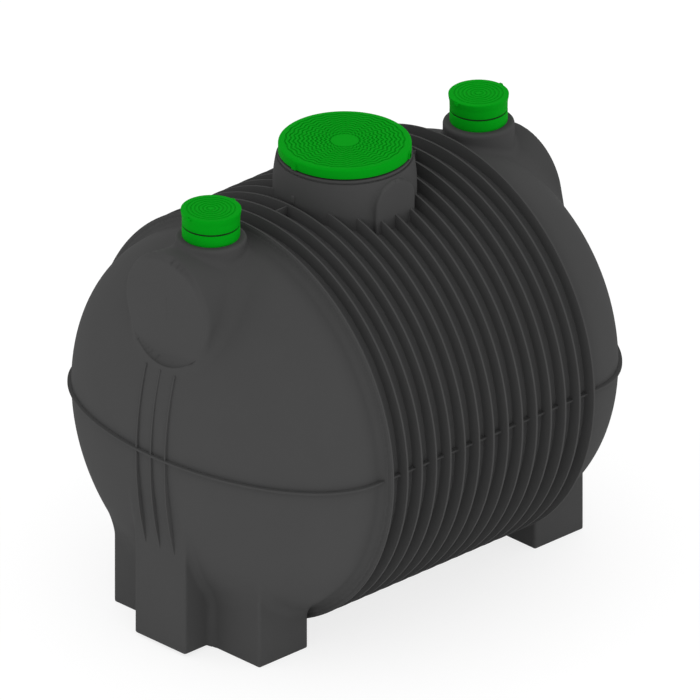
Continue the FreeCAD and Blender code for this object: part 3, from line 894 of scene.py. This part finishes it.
# %% Lid catches
CATCH_RIM = 3 * MM
CATCH_SUNK = 8 * MM


def catch(name, angle):
    low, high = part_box("manhole_lid")
    half = 11 * MM
    straight = 15 * MM
    depth = 6 * MM
    mesh = bmesh.new()
    first = mesh.verts.new((0, half, low.z + straight))
    bmesh.ops.spin(mesh, geom=[first], cent=(0, 0, low.z + straight), axis=(1, 0, 0), dvec=(0, 0, 0),
                   angle=math.pi, steps=12)
    mesh.verts.ensure_lookup_table()
    arch = mesh.verts[:]
    feet = [mesh.verts.new((0, -half, low.z + MM)), mesh.verts.new((0, half, low.z + MM))]
    face = mesh.faces.new(arch + feet)
    pulled = bmesh.ops.extrude_face_region(mesh, geom=[face])
    front = next(item for item in pulled["geom"] if isinstance(item, bmesh.types.BMFace))
    bmesh.ops.translate(mesh, verts=front.verts, vec=(depth + CATCH_SUNK, 0, 0))
    bmesh.ops.inset_region(mesh, faces=[front], thickness=CATCH_RIM, use_even_offset=True)
    key = bmesh.ops.extrude_face_region(mesh, geom=[front])
    sunk = [item for item in key["geom"] if isinstance(item, bmesh.types.BMVert)]
    bmesh.ops.translate(mesh, verts=sunk, vec=(-depth, 0, 0))
    bmesh.ops.translate(mesh, verts=mesh.verts, vec=(high.x - CATCH_SUNK, 0, 0))
    turn = Matrix.Rotation(math.radians(angle), 3, "Z")
    bmesh.ops.rotate(mesh, verts=mesh.verts, cent=(0, 0, 0), matrix=turn)
    return piece(name + "_catch", mesh, "cover_plastic", ["lid_lock_" + name])


for name, angle in (("inlet", 177), ("left", 60), ("right", -60)):
    catch(name, angle)

# %% [markdown]
# Each access has a riser pipe and a screw cap. Both are turned. The cap's skirt narrows under its rim,
# its top carries fine rings, and two lugs with a sealing hole stand out along the tank.

# %% Access risers and caps
RISER_WALL = 8 * MM
RISER_NECK = 2.5 * MM
RISER_ROUND = 1.5 * MM
LUG_SPAN = 16 * MM
LUG_RIM = 3.2 * MM
LUG_HOLE = 6 * MM


def riser(end):
    low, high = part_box(end + "_access_riser")
    x = (low.x + high.x) / 2
    radius = (high.x - low.x) / 2 + 0.8 * MM
    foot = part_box(end + "_access_collar")[1].z
    neck = radius - RISER_NECK
    inner = radius - RISER_WALL
    points = [(inner, low.z), (neck, low.z), (neck, foot + 3 * MM), (radius, foot + 3 * MM),
              (radius, high.z), (inner, high.z)]
    return piece(end + "_riser", upright_lathe(points, {RISER_ROUND: [3, 4]}, x), "cover_plastic",
                 [end + "_access_riser"])


def soft_block(mesh, low, high, radius):
    """A block with rounded edges; gives its points."""
    before = set(mesh.verts)
    add_block(mesh, low, high)
    fresh = {vert for vert in mesh.verts if vert not in before}
    edges = [edge for edge in mesh.edges if fresh.issuperset(edge.verts)]
    bmesh.ops.bevel(mesh, geom=edges, offset=radius, offset_type="OFFSET", segments=2, profile=0.5,
                    affect="EDGES", material=-1)
    return [vert for vert in mesh.verts if vert not in before]


def cap_lugs(mesh, x, rim_r, top):
    for side in (-1, 1):
        low = (x + side * (rim_r - 12 * MM), -LUG_SPAN / 2, top - 14 * MM)
        high = (x + side * (rim_r + 6.6 * MM), LUG_SPAN / 2, top - 0.3 * MM)
        verts = soft_block(mesh, tuple(map(min, low, high)), tuple(map(max, low, high)), 2 * MM)
        lid_face = max((face for face in mesh.faces if all(vert in verts for vert in face.verts)),
                       key=lambda face: face.calc_center_median().z * 100 + face.calc_area())
        bmesh.ops.inset_region(mesh, faces=[lid_face], thickness=LUG_RIM, use_even_offset=True)
        bmesh.ops.translate(mesh, verts=lid_face.verts, vec=(0, 0, -LUG_HOLE))


def cap(end):
    low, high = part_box(end + "_access_cap")
    x = (low.x + high.x) / 2
    top, base, rim_r = high.z, low.z, high.y
    skirt = rim_r - 6.2 * MM
    points = ringed_top(8 * MM, 15 * MM, 6, 2.5 * MM, top)
    corner = len(points)
    points += [(rim_r, top), (rim_r - MM, top - 12 * MM), (skirt + 1.5 * MM, top - 30 * MM),
               (skirt + 1.2 * MM, base + 2.5 * MM), (skirt - 5 * MM, base + 2.5 * MM),
               (skirt - 5 * MM, top - 8 * MM), (0, top - 8 * MM)]
    mesh = upright_lathe(points, {2.5 * MM: [corner], 6 * MM: [corner + 1, corner + 2], MM: [corner + 3]}, x,
                         closed=False)
    cap_lugs(mesh, x, rim_r, top)
    return piece(end + "_cap", mesh, "cover_plastic", [end + "_access_cap"], hard_angle=45)


for end in ("inlet", "outlet"):
    riser(end)
    cap(end)

# %% [markdown]
# Small marks finish the moulding: a thin web across one groove of the crown on each side of the neck, an
# upright centre line on each pipe pad that shows where to drill, and a short rib on the neck over each
# web.

# %% Webs and marks
def soft_plate(name, low, high, radius, stands_for=()):
    mesh = bmesh.new()
    soft_block(mesh, low, high, radius)
    return piece(name, mesh, "tank_plastic", stands_for)


WEB_ROUND = 1.2 * MM
LINE_HALF = 2.5 * MM
LINE_REACH = 48 * MM
LINE_PROUD = 0.5 * MM
RIB_HALF = 9 * MM
RIB_PROUD = 3 * MM


def crown_web(end):
    low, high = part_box(end + "_crown_web")
    low, high = low - Vector((2 * MM, 0, 6 * MM)), high + Vector((2 * MM, 0, -8 * MM))
    soft_plate(end + "_web", low, high, WEB_ROUND, [end + "_crown_web"])


def centre_line(end, sign):
    sizes = end_sizes(end)
    face, middle = sizes["pad_face"], sizes["pad_z"]
    xs = sorted((sign * (face - 4 * MM), sign * (face + LINE_PROUD)))
    low = (xs[0], -LINE_HALF, middle - LINE_REACH)
    soft_plate(end + "_centre_line", low, (xs[1], LINE_HALF, middle + LINE_REACH), 0.4 * MM)


def neck_rib(end, sign):
    xs = sorted((sign * (NECK_R - 10 * MM), sign * (NECK_R + RIB_PROUD)))
    low = (xs[0], -RIB_HALF, NECK_TOP - 128 * MM)
    soft_plate(end + "_neck_rib", low, (xs[1], RIB_HALF, NECK_TOP - 92 * MM), RIB_PROUD)


for end, sign in (("inlet", -1), ("outlet", 1)):
    crown_web(end)
    centre_line(end, sign)
    neck_rib(end, sign)

# %% [markdown]
# The view is a parallel projection, about 44 degrees off the tank's axis and 26.5 degrees above level, so
# the camera is orthographic. Its scale and aim come from the tank's size in the frame of 700 by 700
# pixels.

# %% Camera
VIEW_TURN = math.radians(-44.0)
VIEW_RISE = math.radians(26.53)
PIXEL = 3.72 * MM
FRAME_PIXELS = 700
CAMERA_AWAY = 9.0
ORIGIN_PIXEL = (344.8, 566.6)

right = Vector((math.cos(VIEW_TURN), math.sin(VIEW_TURN), 0))
back = Vector((right.y * math.cos(VIEW_RISE), -right.x * math.cos(VIEW_RISE), math.sin(VIEW_RISE)))
up = back.cross(right)
middle = FRAME_PIXELS / 2
aim = right * (middle - ORIGIN_PIXEL[0]) * PIXEL + up * (ORIGIN_PIXEL[1] - middle) * PIXEL
lens = bpy.data.cameras.new("camera")
lens.type = "ORTHO"
lens.ortho_scale = FRAME_PIXELS * PIXEL
lens.clip_end = 60
camera = bpy.data.objects.new("camera", lens)
turned = Matrix((right, up, back)).transposed().to_4x4()
camera.matrix_world = Matrix.Translation(aim + back * CAMERA_AWAY) @ turned
bpy.context.scene.collection.objects.link(camera)
bpy.context.scene.camera = camera
print("aim", [round(v, 3) for v in aim], "width", round(lens.ortho_scale, 3))

# %% [markdown]
# The floor is pale and plain. It is lifted to white only where it is seen, straight, mirrored or through
# something clear, so the background is white, and that lift adds no light on the tank. For all other rays
# the floor also glows faintly, which is a painted fill light from below on the tank's feet and underside. It
# keeps the tank's soft shadow.

# %% Floor
def seen_ray(tree):
    """One for what the camera sees, straight, mirrored or through glass."""
    path = tree.nodes.new("ShaderNodeLightPath")
    mirrored = math_node(tree, "MAXIMUM", path.outputs["Is Camera Ray"], path.outputs["Is Glossy Ray"])
    return math_node(tree, "MAXIMUM", mirrored, path.outputs["Is Transmission Ray"])


FLOOR_FILL = 0.32
FLOOR_PALE = (0.95, 0.95, 0.95, 1)
FLOOR_SHADOW = (0.26, 0.26, 0.26, 1)
FLOOR_LIFT = 0.79
WHITE = (1, 1, 1, 1)


def pale_floor():
    mesh = bmesh.new()
    bmesh.ops.create_grid(mesh, x_segments=1, y_segments=1, size=20)
    data = bpy.data.meshes.new("floor")
    mesh.to_mesh(data)
    mesh.free()
    floor = bpy.data.objects.new("floor", data)
    bpy.context.scene.collection.objects.link(floor)
    material = bpy.data.materials.new("pale_floor")
    material.use_nodes = True
    tree = material.node_tree
    tree.nodes.clear()
    pale = add(tree, "ShaderNodeBsdfDiffuse", Color=FLOOR_PALE)
    # This faint glow reaches the tank: the floor acts as a painted fill light from below, though it is no
    # lamp.
    soft = add(tree, "ShaderNodeEmission", Color=WHITE, Strength=FLOOR_FILL)
    matt = add(tree, "ShaderNodeAddShader", i0=pale.outputs[0], i1=soft.outputs[0])
    lifted = add(tree, "ShaderNodeBsdfDiffuse", Color=FLOOR_SHADOW)
    glow = add(tree, "ShaderNodeEmission", Color=WHITE, Strength=FLOOR_LIFT)
    both = add(tree, "ShaderNodeAddShader", i0=lifted.outputs[0], i1=glow.outputs[0])
    mix = add(tree, "ShaderNodeMixShader", i0=seen_ray(tree), i1=matt.outputs[0], i2=both.outputs[0])
    add(tree, "ShaderNodeOutputMaterial", Surface=mix.outputs[0])
    data.materials.append(material)
    return floor


pale_floor()

# %% [markdown]
# The light is that of a bright overcast studio: an even world with one broad lamp from above the camera,
# so the grooves go dark by themselves and the dome's turn stays visible.

# %% Light
def studio_light(world_strength=0.97, lamp_power=0.15):
    world = bpy.data.worlds.new("studio")
    bpy.context.scene.world = world
    world.use_nodes = True
    tree = world.node_tree
    tree.nodes.clear()
    even = add(tree, "ShaderNodeBackground", Color=WHITE, Strength=world_strength)
    white = add(tree, "ShaderNodeBackground", Color=WHITE, Strength=1.0)
    mix = add(tree, "ShaderNodeMixShader", i0=seen_ray(tree), i1=even.outputs[0], i2=white.outputs[0])
    add(tree, "ShaderNodeOutputWorld", Surface=mix.outputs[0])
    lamp = bpy.data.lights.new("broad_lamp", "SUN")
    lamp.energy = lamp_power
    lamp.angle = math.radians(60)
    sun = bpy.data.objects.new("broad_lamp", lamp)
    towards = (back * 0.5 + Vector((0, 0, 1)) - right * 0.1).normalized()
    sun.matrix_world = towards.to_track_quat("Z", "Y").to_matrix().to_4x4()
    bpy.context.scene.collection.objects.link(sun)


studio_light()
bpy.context.scene.view_settings.view_transform = "Standard"
